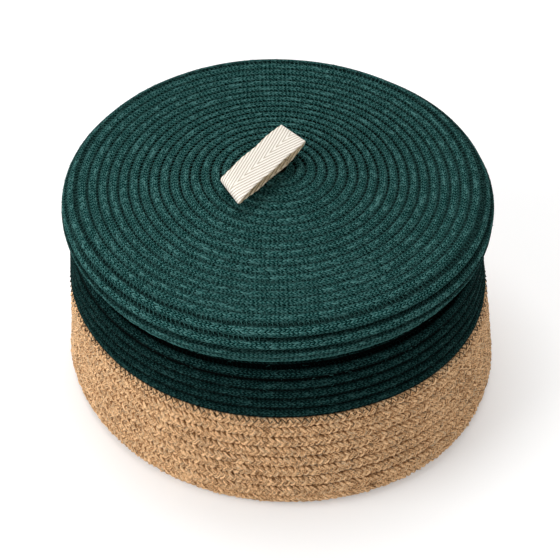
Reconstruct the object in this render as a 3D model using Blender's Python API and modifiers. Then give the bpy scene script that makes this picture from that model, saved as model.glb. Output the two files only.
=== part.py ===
"""A round lidded basket of coiled rope, modelled at its real size in metres, +Z up.

The body is a spiral of braided jute that turns up into a wall, and a cotton rope goes on from the jute to the rim.
The lid is one more cotton rope, coiled flat and then turned down over the rim. A loop of tape is tacked to its centre.
The origin is the centre of the underside. +X runs along the tape of the loop.
"""

import math

import bmesh
import bpy
import numpy as np
from mathutils import Matrix, Vector

# Ropes
JUTE_ROPE = 0.0075  # diameter of the braided jute
COTTON_ROPE = 0.0069  # diameter of the cotton rope of the wall
LID_ROPE = 0.0062  # the same rope in the lid's top, where the stitches pull it tighter
LID_SIDE_ROPE = 0.0070  # the same rope in the lid's side
SEWN_GAP = 0.0008  # left between neighbouring turns of the wall
LID_SEWN_GAP = 0.0007  # left between neighbouring turns of the lid
FACE_GAP = 0.0003  # left between pieces that touch
LEAST_GAP = 0.0004  # a coil's turns stay at least this far apart
POINTS_PER_LOOP = 16  # a multiple of four, so that a coil is as wide along X as along Y
ROPE_SIDES = 6
THREAD_SIDES = 4
GAP_SAMPLES = 4  # places on each run of a rope where its gap is measured
HALVINGS = 40  # steps of the search for the next turn's place
BEND_STEPS = 8  # points on each bend of a coil's cross-section

# Basket, with radii measured to the outside of the rope
BASE_RADIUS = 0.1485  # where the wall leaves the floor
BASE_OVAL = 0.0034  # how much longer that radius is one way, and shorter square to it; it fades out up the wall
OVAL_TURN_SHARE = 0.224  # the long way, as a share of a turn round from +X
WAIST_RADIUS = 0.1395  # where the wall turns in, just under the lid
COLLAR_RADIUS = 0.1280  # the part of the wall that is inside the lid
WALL_HEIGHT = 0.1487  # floor to the top of the collar
FOOT_BEND = 0.0060  # bend of the rope's centre line where the base turns up
WAIST_BEND = 0.0080  # bends at both ends of the ledge
LEDGE_HEIGHT = 0.0080  # height over which the wall turns in
SEAM_HEIGHT = 0.0799  # floor to the seam between jute and cotton
JOIN_TURN_SHARE = 0.10  # where the cotton takes over, as a share of a turn round from +X
LEAN = 0.0036  # how far the top of the wall stands to one side of the base
LEAN_TURN_SHARE = 0.35  # which way it leans

# Lid
LID_CLEARANCE = 0.0024  # between the collar and the lid's edge, all round
LID_OVERHANG = 0.0115  # from the collar out to where the flat top and the side would meet
LID_DEPTH = 0.0343  # rim of the flat top to the lower edge
LID_BEND = 0.0090  # bend of the rope's centre line at the shoulder
LID_SWELL = 0.0065  # how far the side stands out between the shoulder and the edge
LID_SWELL_BEND = 0.0120
LID_DOME = 0.0110  # rise of the top inside the collar
LEDGE_GAP = 0.0012  # between the lid's edge and the ledge
EYE_RADIUS = 0.0016  # hole at the centre of the coil
LID_END_TURN_SHARE = 0.10  # where the lid's rope ends, as a share of a turn round from +X

# Tape loop
TAPE_WIDTH = 0.0240
TAPE_THICKNESS = 0.0012
LOOP_HEIGHT = 0.0145  # lid to the top of the loop
LOOP_RIGHT = 0.0235  # tack to the fold at +X
LOOP_LEFT = 0.0470  # tack to the fold at -X
LOOP_ASIDE = 0.0080  # the lid's axis to the middle of the tape's lower layers, along +Y
LOOP_TILT = 0.38  # how far the loop leans to -Y, as a share of its height
LOOP_SKEW = 0.36  # how far the folds slant along +X, as a share of the way across the tape
TAPE_OVERLAP = 0.0100  # how far each end runs past the tack
TAPE_FLAT_RUN = 0.0025  # how much farther the lower layer lies flat before it rises
TACK_HOLE_RADIUS = 0.0015

# Thread
TACK_SHANK_RADIUS = 0.0011
TACK_LENGTH = 0.0190
TACK_WIDTH = 0.0026
TACK_THICKNESS = 0.0010
TACK_SET_BACK = 0.0005  # the middle of the tape to the middle of the tack, towards -Y
SEAM_THREAD = 0.0008  # diameter of the thread that joins cotton to jute
SEAM_STITCH = 0.0049  # length of one zigzag along the seam
SEAM_STITCH_DROP = 0.0034  # how far a zigzag reaches down over the jute
SEAM_ANGLE = math.radians(48)  # where its high points lie on the jute, up from the side
PIN_SIDES = 12
CUTTER_OVERRUN = 0.0010

# Places that follow from the sizes
LID_TOP = WALL_HEIGHT + FACE_GAP + LID_ROPE
LID_RADIUS = COLLAR_RADIUS + LID_OVERHANG
LID_EDGE = LID_TOP - LID_DEPTH
LID_EDGE_RADIUS = COLLAR_RADIUS + LID_CLEARANCE + LID_SIDE_ROPE
LOOP_FOOT = LID_TOP + LID_DOME
COLLAR_START = LID_EDGE - LEDGE_GAP
LOOP_ANGLE = 2 * math.pi / POINTS_PER_LOOP

# Tape loop's line, from the lower end to the upper one: along the loop as shares of its reach on that side, and up
# as shares of its height. The points before and after these lie on the lid instead, one layer on the other.
LOOP_LINE_SHARES = (
    (0.72, 0.12),
    (0.90, 0.50),
    (1.00, 0.74),
    (0.99, 0.93),
    (0.80, 0.96),
    (0.30, 0.97),
    (-0.30, 0.93),
    (-0.78, 0.84),
    (-1.00, 0.72),
    (-1.00, 0.38),
    (-0.94, 0.20),
)


def clear_scene():
    for old in list(bpy.data.objects):
        bpy.data.objects.remove(old)


def new_collection(name):
    collection = bpy.data.collections.new(name)
    bpy.context.scene.collection.children.link(collection)
    return collection


def material(name, colour, roughness):
    made = bpy.data.materials.new(name)
    made.use_nodes = True
    shader = made.node_tree.nodes["Principled BSDF"]
    shader.inputs["Base Color"].default_value = (*colour, 1)
    shader.inputs["Roughness"].default_value = roughness
    shader.inputs["Metallic"].default_value = 0
    return made


def add_object(name, data, collection, look=None):
    made = bpy.data.objects.new(name, data)
    collection.objects.link(made)
    if look:
        data.materials.append(look)
    return made


def bent_line(corners, bends):
    """Points (radius, height) of a line through the corners, with an arc at each corner between the first and last."""
    corners = [Vector(corner) for corner in corners]
    line = [corners[0]]
    for before, corner, after, bend in zip(corners, corners[1:], corners[2:], bends):
        way_in = (corner - before).normalized()
        way_out = (after - corner).normalized()
        turn = way_in.angle(way_out)
        reach = bend * math.tan(turn / 2)
        start = corner - way_in * reach
        end = corner + way_out * reach
        centre = corner + (way_out - way_in).normalized() * bend / math.cos(turn / 2)
        for step in range(BEND_STEPS + 1):
            share = step / BEND_STEPS
            spoke = (start - centre).lerp(end - centre, share).normalized() * bend
            line.append(centre + spoke)
    line.append(corners[-1])
    return np.array([tuple(point) for point in line])


class Line:
    """A coil's cross-section as a line of (radius, height) points that is read by its length."""

    def __init__(self, points):
        self.points = points
        steps = np.linalg.norm(np.diff(points, axis=0), axis=1)
        self.lengths = np.concatenate([[0], np.cumsum(steps)])

    def at(self, length):
        return np.array([np.interp(length, self.lengths, self.points[:, axis]) for axis in (0, 1)])

    def next_turn(self, length, pitch):
        """The length whose point lies one pitch from the point at this length, measured straight across."""
        here = self.at(length)
        low, high = length, length + 2 * pitch
        for _ in range(HALVINGS):
            middle = (low + high) / 2
            if np.linalg.norm(self.at(middle) - here) < pitch:
                low = middle
            else:
                high = middle
        return high


def wind(line, start, rope_at, gap):
    """(radius, height) and rope of each point of a coil on the line, POINTS_PER_LOOP to a loop, from one length on.

    Each point lies one pitch from the point of the turn before, so that neighbouring turns are alike on bends too.
    """
    first_pitch = rope_at(line.at(start)[1]) + gap
    lengths = [start + first_pitch * step / POINTS_PER_LOOP for step in range(POINTS_PER_LOOP)]
    ropes = [rope_at(line.at(length)[1]) for length in lengths]
    while True:
        turn_before = lengths[-POINTS_PER_LOOP]
        rope = rope_at(line.at(lengths[-1])[1])
        length = line.next_turn(turn_before, (rope + ropes[-POINTS_PER_LOOP]) / 2 + gap)
        if length > line.lengths[-1]:
            break
        lengths.append(length)
        ropes.append(rope)
    return np.array([line.at(length) for length in lengths]), np.array(ropes)


def around(profile, first_step, sense):
    """Points in space of a coil: its (radius, height) points turned round the axis, a loop's angle at each."""
    angles = LOOP_ANGLE * (first_step + sense * np.arange(len(profile)))
    return np.column_stack([profile[:, 0] * np.cos(angles), profile[:, 0] * np.sin(angles), profile[:, 1]])


def made_oval(points):
    """The coil's points with the foot pressed to an oval, which is round again where the collar starts."""
    angles = np.arctan2(points[:, 1], points[:, 0]) - 2 * math.pi * OVAL_TURN_SHARE
    fade = np.clip(1 - points[:, 2] / COLLAR_START, 0, 1)
    stretch = 1 + BASE_OVAL / BASE_RADIUS * np.cos(2 * angles) * fade
    return points * np.column_stack([stretch, stretch, np.ones(len(points))])


def lean_at(height):
    angle = 2 * math.pi * LEAN_TURN_SHARE
    reach = LEAN * height / WALL_HEIGHT
    return np.column_stack([reach * math.cos(angle), reach * math.sin(angle), 0 * reach])


def shortened(points, at_start, at_end):
    """The points with the first and last moved in along their straight runs."""
    points = points.copy()
    for end, inner, cut in ((0, 1, at_start), (-1, -2, at_end)):
        run = points[inner] - points[end]
        points[end] += run * cut / np.linalg.norm(run)
    return points


def least_gap(name, points, ropes):
    """Measures the least gap between a tube and itself on points along it, leaving out those within half a loop."""
    shares = np.arange(GAP_SAMPLES)[:, None, None] / GAP_SAMPLES
    along = (points[None, :-1] * (1 - shares) + points[None, 1:] * shares).transpose(1, 0, 2).reshape(-1, 3)
    apart = np.linalg.norm(along[:, None] - along[None], axis=2)
    order = np.arange(len(along))
    near = np.abs(order[:, None] - order[None]) < GAP_SAMPLES * POINTS_PER_LOOP / 2
    thick = np.interp(order / GAP_SAMPLES, np.arange(len(points)), ropes)
    gap = (apart - (thick[:, None] + thick[None]) / 2)[~near].min()
    loops = (len(points) - 1) / POINTS_PER_LOOP
    print(f"{name}: {loops:.2f} loops, least gap to itself {gap * 1000:.2f} mm")
    if gap < LEAST_GAP:
        print(f"{name}: its turns are too close")


def tube(name, points, ropes, collection, look, sides=ROPE_SIDES):
    """A closed tube along the points, as a curve with a round bevel that has the rope's thickness at each point."""
    curve = bpy.data.curves.new(name, "CURVE")
    curve.dimensions = "3D"
    curve.bevel_depth = ropes[0] / 2
    curve.bevel_resolution = (sides - 4) // 2
    curve.use_fill_caps = True
    spline = curve.splines.new("POLY")
    spline.points.add(len(points) - 1)
    spline.points.foreach_set("co", np.column_stack([points, np.ones(len(points))]).ravel())
    spline.points.foreach_set("radius", ropes / ropes[0])
    return add_object(name, curve, collection, look)


def as_mesh(source, look, place):
    """The curve object made a mesh with its modifiers applied and its loose caps welded, moved by a place matrix."""
    graph = bpy.context.evaluated_depsgraph_get()
    mesh = bpy.data.meshes.new_from_object(source.evaluated_get(graph))
    shape = bmesh.new()
    shape.from_mesh(mesh)
    bmesh.ops.remove_doubles(shape, verts=shape.verts, dist=FACE_GAP / 10)
    shape.to_mesh(mesh)
    shape.free()
    mesh.transform(place)
    made = bpy.data.objects.new(source.name + "_solid", mesh)
    source.users_collection[0].objects.link(made)
    name = source.name
    bpy.data.objects.remove(source)
    made.name = name
    mesh.materials.clear()
    mesh.materials.append(look)
    return made


def make_primitive(name, collection, look, place, size=None, radius=None, height=None):
    """A box of a size, or an upright cylinder of a radius and height, centred on a place."""
    shape = bmesh.new()
    if size:
        bmesh.ops.create_cube(shape, size=1, matrix=Matrix.Diagonal((*size, 1)))
    else:
        bmesh.ops.create_cone(shape, cap_ends=True, segments=PIN_SIDES, radius1=radius, radius2=radius, depth=height)
    mesh = bpy.data.meshes.new(name)
    shape.to_mesh(mesh)
    shape.free()
    made = add_object(name, mesh, collection, look)
    made.location = place
    return made


def boolean(target, other, operation):
    modifier = target.modifiers.new(other.name, "BOOLEAN")
    modifier.object = other
    modifier.operation = operation
    other.hide_render = True
    other.display_type = "WIRE"


def wall_line():
    """The cross-section that the wall's ropes follow with their centres, from inside the base to the rim."""
    jute, cotton = JUTE_ROPE / 2, COTTON_ROPE / 2
    corners = [
        (0, jute),
        (BASE_RADIUS - jute, jute),
        (WAIST_RADIUS - cotton, COLLAR_START - LEDGE_HEIGHT),
        (COLLAR_RADIUS - cotton, COLLAR_START),
        (COLLAR_RADIUS - cotton, WALL_HEIGHT - cotton),
    ]
    return Line(bent_line(corners, [FOOT_BEND, WAIST_BEND, WAIST_BEND]))


def dome_height(radius):
    """How far the lid's top rises over its rim, as one wave of a cosine: level at the eye and at the collar."""
    return LID_DOME * (1 + np.cos(math.pi * radius / COLLAR_RADIUS)) / 2


def lid_line():
    """The cross-section that the lid's rope follows with its centre, from the eye over the dome to the lower edge."""
    rope = LID_ROPE / 2
    start = EYE_RADIUS + rope
    flat = LID_TOP - rope
    radii = np.linspace(start, COLLAR_RADIUS, 4 * BEND_STEPS)
    dome = np.column_stack([radii, flat + dome_height(radii)])
    corners = [
        (COLLAR_RADIUS, flat),
        (LID_RADIUS - rope, flat),
        ((LID_RADIUS + LID_EDGE_RADIUS) / 2 + LID_SWELL - rope, (LID_TOP + LID_EDGE) / 2),
        (LID_EDGE_RADIUS - LID_SIDE_ROPE / 2, LID_EDGE + LID_SIDE_ROPE / 2),
    ]
    side = bent_line(corners, [LID_BEND, LID_SWELL_BEND])
    return Line(np.concatenate([dome, side[1:]]))


def make_wall(parts, looks):
    """The jute and cotton ropes of the wall, which wind as one line that rises clockwise, and the base inside it."""
    line = wall_line()
    foot = BASE_RADIUS - JUTE_ROPE / 2 - FOOT_BEND
    seam_centre = SEAM_HEIGHT - JUTE_ROPE / 2
    profile, ropes = wind(line, foot, lambda height: JUTE_ROPE if height < seam_centre else COTTON_ROPE, SEWN_GAP)
    join = int(np.argmax(ropes < JUTE_ROPE))
    first_step = round(JOIN_TURN_SHARE * POINTS_PER_LOOP) + join
    points = made_oval(around(profile, first_step, -1))
    points += lean_at(points[:, 2])
    # The ropes meet halfway between two points, where the line runs straight.
    meeting = (points[join - 1 : join] + points[join : join + 1]) / 2
    jute = shortened(np.concatenate([points[:join], meeting]), 0, FACE_GAP / 2)
    cotton = shortened(np.concatenate([meeting, points[join:]]), FACE_GAP / 2, 0)
    for look, run, rope in (("jute", jute, JUTE_ROPE), ("cotton", cotton, COTTON_ROPE)):
        even = np.full(len(run), rope)
        least_gap(f"{look}_wall", run, even)
        tube(f"{look}_wall", run, even, parts, looks[look])
    make_base(parts, looks, points[: POINTS_PER_LOOP + 1])
    make_seam(parts, looks, points[join - POINTS_PER_LOOP : join + 1])


def make_base(parts, looks, first_loop):
    """The flat bottom, whose edge follows the inner side of the first loop, so it steps in where that loop starts."""
    flat = first_loop[:, :2]
    radii = np.linalg.norm(flat, axis=1, keepdims=True)
    edge = flat * (1 - (JUTE_ROPE / 2 + SEWN_GAP) / radii)
    last_run = edge[-2] - edge[-1]
    room = JUTE_ROPE / 2 + FACE_GAP
    step_out = edge[-1] + last_run * room / np.linalg.norm(last_run)
    step_in = edge[0] + last_run * room / np.linalg.norm(last_run)
    outline = np.concatenate([edge[:-1], [step_out, step_in]])
    curve = bpy.data.curves.new("jute_base", "CURVE")
    curve.dimensions = "2D"
    curve.fill_mode = "BOTH"
    curve.extrude = JUTE_ROPE / 2
    spline = curve.splines.new("POLY")
    spline.points.add(len(outline) - 1)
    filled = np.column_stack([outline, np.zeros(len(outline)), np.ones(len(outline))])
    spline.points.foreach_set("co", filled.ravel())
    spline.use_cyclic_u = True
    base = add_object("jute_base", curve, parts, looks["jute"])
    base.location = (0, 0, JUTE_ROPE / 2)


def make_seam(parts, looks, last_jute_loop):
    """The zigzag of thread that sews the first cotton turn down to the last jute turn."""
    # The thread lies off the jute, on a circle wide enough that its straight runs clear the rope too.
    reach = SEAM_STITCH_DROP / (JUTE_ROPE / 2)
    off = ((JUTE_ROPE + SEAM_THREAD) / 2 + FACE_GAP) / math.cos(reach / 2)
    runs = np.linalg.norm(np.diff(last_jute_loop, axis=0), axis=1)
    length = np.concatenate([[0], np.cumsum(runs)])
    count = 2 * round(length[-1] / SEAM_STITCH)
    places = np.linspace(SEAM_STITCH, length[-1] - SEAM_STITCH, count)
    line = np.column_stack([np.interp(places, length, last_jute_loop[:, axis]) for axis in range(3)])
    outward = line.copy()
    outward[:, 2] = 0
    outward /= np.linalg.norm(outward, axis=1, keepdims=True)
    angle = SEAM_ANGLE - np.where(np.arange(count) % 2, reach, 0)
    points = line + outward * (off * np.cos(angle))[:, None] + np.array([0, 0, 1]) * (off * np.sin(angle))[:, None]
    tube("seam_thread", points, np.full(count, SEAM_THREAD), parts, looks["thread"], THREAD_SIDES)


def make_lid(parts, looks):
    """The lid's rope, coiled outward and then down, turning counter-clockwise."""
    line = lid_line()
    side_top = LID_TOP - LID_ROPE
    profile, ropes = wind(line, 0, lambda height: LID_SIDE_ROPE if height < side_top else LID_ROPE, LID_SEWN_GAP)
    last_step = round(LID_END_TURN_SHARE * POINTS_PER_LOOP)
    points = around(profile, last_step - len(profile) + 1, 1)
    points += lid_place()
    least_gap("lid_coil", points, ropes)
    tube("lid_coil", points, ropes, parts, looks["cotton"])


def lid_place():
    """Where the lid's axis stands: over the middle of the collar, which leans."""
    return lean_at(np.array([(COLLAR_START + WALL_HEIGHT) / 2]))[0]


def make_loop(parts, cutters, looks):
    """The loop of flat tape: one end lies on the other at the tack, and the loop is drawn out to both sides."""
    lower = FACE_GAP + TAPE_THICKNESS / 2
    upper = lower + TAPE_THICKNESS + FACE_GAP
    line = [(-TAPE_OVERLAP, lower), (TAPE_OVERLAP, lower), (TAPE_OVERLAP + TAPE_FLAT_RUN, lower)]
    for along, up in LOOP_LINE_SHARES:
        line.append((along * (LOOP_RIGHT if along > 0 else LOOP_LEFT), upper + up * (LOOP_HEIGHT - upper)))
    line += [(-LOOP_LEFT / 2, upper), (-TAPE_OVERLAP, upper), (TAPE_OVERLAP, upper)]
    curve = bpy.data.curves.new("tape_loop", "CURVE")
    curve.dimensions = "2D"
    curve.fill_mode = "NONE"
    curve.extrude = TAPE_WIDTH / 2
    curve.resolution_u = 3
    spline = curve.splines.new("NURBS")
    spline.points.add(len(line) - 1)
    flat = np.column_stack([np.array(line), np.zeros(len(line)), np.ones(len(line))])
    spline.points.foreach_set("co", flat.ravel())
    spline.order_u = 3
    spline.use_endpoint_u = True
    guide = add_object("tape_loop", curve, parts)
    slanted = Matrix.Identity(4)
    slanted[0][1] = LOOP_SKEW
    slanted[1][2] = -LOOP_TILT
    centre_x, centre_y, _ = lid_place()
    place = Matrix.Translation((centre_x, centre_y + LOOP_ASIDE, LOOP_FOOT)) @ slanted
    wall = guide.modifiers.new("thickness", "SOLIDIFY")
    wall.thickness = TAPE_THICKNESS
    wall.offset = 0
    wall.use_even_offset = True
    bpy.context.view_layer.update()
    loop = as_mesh(guide, looks["tape"], place @ Matrix.Rotation(math.pi / 2, 4, "X"))
    top = upper + TAPE_THICKNESS / 2 + CUTTER_OVERRUN
    cutter = make_primitive(
        "tack_hole",
        cutters,
        None,
        (centre_x, centre_y, LOOP_FOOT + top / 2),
        radius=TACK_HOLE_RADIUS,
        height=top,
    )
    boolean(loop, cutter, "DIFFERENCE")
    return LOOP_FOOT + upper + TAPE_THICKNESS / 2 + FACE_GAP


def make_tack(parts, cutters, looks, seat):
    """The thread that holds the tape: a bar of stitches across it, one under the lid, and a shank between them."""
    centre_x, centre_y, _ = lid_place()
    under = LID_TOP + dome_height(LOOP_ASIDE + TACK_LENGTH / 2) - LID_ROPE - FACE_GAP
    size = (TACK_WIDTH, TACK_LENGTH, TACK_THICKNESS)
    middle = centre_y + LOOP_ASIDE - TACK_SET_BACK
    tack = make_primitive("tack_thread", parts, looks["tape"], (centre_x, middle, seat + TACK_THICKNESS / 2), size=size)
    foot = make_primitive("tack_foot", cutters, None, (centre_x, middle, under - TACK_THICKNESS / 2), size=size)
    shank = make_primitive(
        "tack_shank",
        cutters,
        None,
        (centre_x, centre_y, (seat + under) / 2),
        radius=TACK_SHANK_RADIUS,
        height=seat - under + TACK_THICKNESS,
    )
    boolean(tack, shank, "UNION")
    boolean(tack, foot, "UNION")


def main():
    clear_scene()
    parts = new_collection("coiled_rope_basket")
    cutters = new_collection("cutters")
    looks = {
        "jute": material("braided_jute", (0.50, 0.31, 0.15), 0.75),
        "cotton": material("green_cotton", (0.012, 0.060, 0.055), 0.90),
        "tape": material("cream_tape", (0.80, 0.74, 0.62), 0.85),
        "thread": material("dark_thread", (0.010, 0.045, 0.042), 0.70),
    }
    make_wall(parts, looks)
    make_lid(parts, looks)
    seat = make_loop(parts, cutters, looks)
    make_tack(parts, cutters, looks, seat)


main()
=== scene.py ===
"""The looks of a round lidded basket of coiled rope.

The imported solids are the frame. Each rope, thread and tape is worked out here as a surface on the same
coils, and stands for the solid of its name. Sizes are in metres, +Z is up, +X runs along the tape of the
loop, and the ropes wind on a cross-section line of (radius, height) points turned round the axis.
"""

from __future__ import annotations

import logging
import math
from dataclasses import dataclass, field
from enum import Enum

import bpy
import numpy as np
from mathutils import Matrix, Vector

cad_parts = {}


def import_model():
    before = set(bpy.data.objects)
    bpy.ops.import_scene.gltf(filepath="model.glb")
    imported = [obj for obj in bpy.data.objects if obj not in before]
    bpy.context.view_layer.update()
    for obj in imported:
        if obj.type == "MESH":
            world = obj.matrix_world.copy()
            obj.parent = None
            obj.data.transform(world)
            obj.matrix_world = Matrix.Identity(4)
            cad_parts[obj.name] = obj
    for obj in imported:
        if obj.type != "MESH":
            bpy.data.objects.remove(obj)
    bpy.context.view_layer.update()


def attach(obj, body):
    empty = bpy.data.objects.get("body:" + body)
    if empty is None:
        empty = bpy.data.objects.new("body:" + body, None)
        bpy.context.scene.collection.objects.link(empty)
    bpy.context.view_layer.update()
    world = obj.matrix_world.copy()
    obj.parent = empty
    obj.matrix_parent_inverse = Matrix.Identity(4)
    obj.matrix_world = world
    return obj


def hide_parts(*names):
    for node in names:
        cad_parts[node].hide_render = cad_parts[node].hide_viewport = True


LOG = logging.getLogger("basket")

SAMPLES_PER_LOOP = 240
HAIR_OFFSET = 0.0137
ROPE_UV = "rope"
BASKET = "basket"
LID = "lid"

# A tube is its points, by ring and place round the ring, and the length along it at each ring.
Tube = tuple[np.ndarray, np.ndarray]
Colour = tuple[float, float, float]
Socket = bpy.types.NodeSocket
# Each wave is its size, its shift in radians, and its radians for each unit of the ways that it runs along.
Waves = tuple[tuple[float, ...], ...]


class Side(Enum):
    """Which side of a coil's cross-section line faces out of the object."""

    BODY = 1
    LID = -1


class Sense(Enum):
    """Which way a coil turns as its rope runs on, seen from above."""

    CLOCKWISE = -1
    COUNTER_CLOCKWISE = 1


@dataclass(frozen=True)
class Sizes:
    """The sizes of the basket: those of its solids, but for a few small departures.

    The foot is 1.8 mm wider and moved by foot_shift, the lid's side stands out by bulge on one side, and the
    loop's left end is 2.5 mm shorter.
    """

    jute_rope: float = 0.0075
    cotton_rope: float = 0.0069
    lid_rope: float = 0.0062
    lid_side_rope: float = 0.0070
    sewn_gap: float = 0.0008
    lid_sewn_gap: float = 0.0007
    face_gap: float = 0.0003
    base_radius: float = 0.1503
    base_oval: float = 0.0034
    oval_turn_share: float = 0.224
    waist_radius: float = 0.1395
    collar_radius: float = 0.1280
    wall_height: float = 0.1487
    foot_bend: float = 0.0060
    waist_bend: float = 0.0080
    ledge_height: float = 0.0080
    seam_height: float = 0.0799
    lean: float = 0.0036
    lean_turn_share: float = 0.35
    join_turn_share: float = 0.10
    lid_clearance: float = 0.0024
    lid_overhang: float = 0.0115
    lid_depth: float = 0.0343
    lid_bend: float = 0.0090
    lid_swell: float = 0.0065
    lid_swell_bend: float = 0.0120
    lid_dome: float = 0.0110
    ledge_gap: float = 0.0012
    eye_radius: float = 0.0016
    bulge: float = 0.0030
    bulge_turn_share: float = -0.16
    bulge_slope: float = 1.6
    bulge_start: float = 0.2
    foot_shift: tuple[float, float] = (-0.0002, -0.0014)
    tape_width: float = 0.0240
    tape_thickness: float = 0.0012
    loop_height: float = 0.0145
    loop_right: float = 0.0235
    loop_left: float = 0.0445
    loop_aside: float = 0.0080
    loop_tilt: float = 0.38
    loop_skew: float = 0.36
    tape_overlap: float = 0.0100
    tape_flat_run: float = 0.0025

    @property
    def lid_top(self) -> float:
        """Height of the lid's flat top at its rim."""
        return self.wall_height + self.face_gap + self.lid_rope

    @property
    def lid_edge(self) -> float:
        """Height of the lid's lower edge."""
        return self.lid_top - self.lid_depth

    @property
    def lid_edge_radius(self) -> float:
        """Outer radius of the lid's lowest turn."""
        return self.collar_radius + self.lid_clearance + self.lid_side_rope

    @property
    def lid_radius(self) -> float:
        """Radius at which the lid's flat top and its side would meet."""
        return self.collar_radius + self.lid_overhang

    @property
    def collar_start(self) -> float:
        """Height at which the wall has turned in to the collar."""
        return self.lid_edge - self.ledge_gap

    @property
    def loop_foot(self) -> float:
        """Height of the lid's surface under the tape."""
        return self.lid_top + self.lid_dome

    def lean_at(self, height: np.ndarray) -> np.ndarray:
        """The wall's sideways lean, which grows evenly with height.

        Args:
            height: Heights above the floor.

        Returns:
            Offsets with a last axis of x, y and z.
        """
        angle = 2 * math.pi * self.lean_turn_share
        reach = self.lean * np.asarray(height) / self.wall_height
        fade = np.clip(1 - np.asarray(height) / self.collar_start, 0, 1)
        along = reach * math.cos(angle) + self.foot_shift[0] * fade
        across = reach * math.sin(angle) + self.foot_shift[1] * fade
        return np.stack([along, across, 0 * reach], axis=-1)

    @property
    def lid_place(self) -> np.ndarray:
        """Where the lid's axis stands."""
        return self.lean_at((self.collar_start + self.wall_height) / 2)

    def bulge_at(self, angle: np.ndarray, height: np.ndarray) -> np.ndarray:
        """How far the lid's side stands out on the side where it has been pulled, most at its lower rows.

        Args:
            angle: Angles round from +X.
            height: Heights above the floor.

        Returns:
            What to add to the radius.
        """
        down = np.clip((self.lid_top - height) / self.lid_depth * self.bulge_slope - self.bulge_start, 0, 1)
        return self.bulge * np.clip(np.cos(angle - 2 * math.pi * self.bulge_turn_share), 0, 1) ** 2 * down

    def dome_height(self, radius: np.ndarray) -> np.ndarray:
        """How far the lid's top rises over its rim, as one wave of a cosine."""
        return self.lid_dome * (1 + np.cos(math.pi * radius / self.collar_radius)) / 2

    def oval_at(self, angle: np.ndarray, height: np.ndarray) -> np.ndarray:
        """The stretch of the wall's radius: the foot is an oval, which fades out up to the collar.

        Args:
            angle: Angles round from +X.
            height: Heights above the floor.

        Returns:
            Factors for the radius.
        """
        fade = np.clip(1 - height / self.collar_start, 0, 1)
        turn = 2 * angle - 4 * math.pi * self.oval_turn_share
        return 1 + self.base_oval / self.base_radius * np.cos(turn) * fade


def unit(vectors: np.ndarray) -> np.ndarray:
    """Vectors brought to a length of one, along the last axis."""
    return vectors / np.linalg.norm(vectors, axis=-1, keepdims=True)


def run_lengths(points: np.ndarray) -> np.ndarray:
    """The length along a path from its first point to each."""
    return np.concatenate([[0], np.cumsum(np.linalg.norm(np.diff(points, axis=0), axis=1))])


def waves(terms: Waves, *ways: np.ndarray | float) -> np.ndarray:
    """A sum of sines.

    Args:
        terms: For each sine its size, its shift and its rate along each way.
        ways: What the sines run along, such as a length or an angle.

    Returns:
        The sum at each place.
    """
    total = 0.0
    for size, shift, *rates in terms:
        phase = sum(rate * way for rate, way in zip(rates, ways))
        total = total + size * np.sin(phase + shift)
    return total


def bent_line(corners: list[tuple[float, float]], bends: list[float], steps: int = 24) -> np.ndarray:
    """A line through corners, with an arc of the given bend at each corner between the first and the last.

    Args:
        corners: (radius, height) of each corner.
        bends: Radius of the arc at each inner corner.
        steps: Points on each arc, less one.

    Returns:
        The line's (radius, height) points.
    """
    corners = [np.array(corner, float) for corner in corners]
    line = [corners[0][None]]
    shares = np.linspace(0, 1, steps + 1)[:, None]
    for before, corner, after, bend in zip(corners, corners[1:], corners[2:], bends):
        way_in, way_out = unit(corner - before), unit(after - corner)
        half_turn = math.acos(float(way_in @ way_out)) / 2
        reach = bend * math.tan(half_turn)
        centre = corner + unit(way_out - way_in) * bend / math.cos(half_turn)
        first, last = corner - way_in * reach - centre, corner + way_out * reach - centre
        line.append(centre + bend * unit(first * (1 - shares) + last * shares))
    line.append(corners[-1][None])
    return np.concatenate(line)


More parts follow.
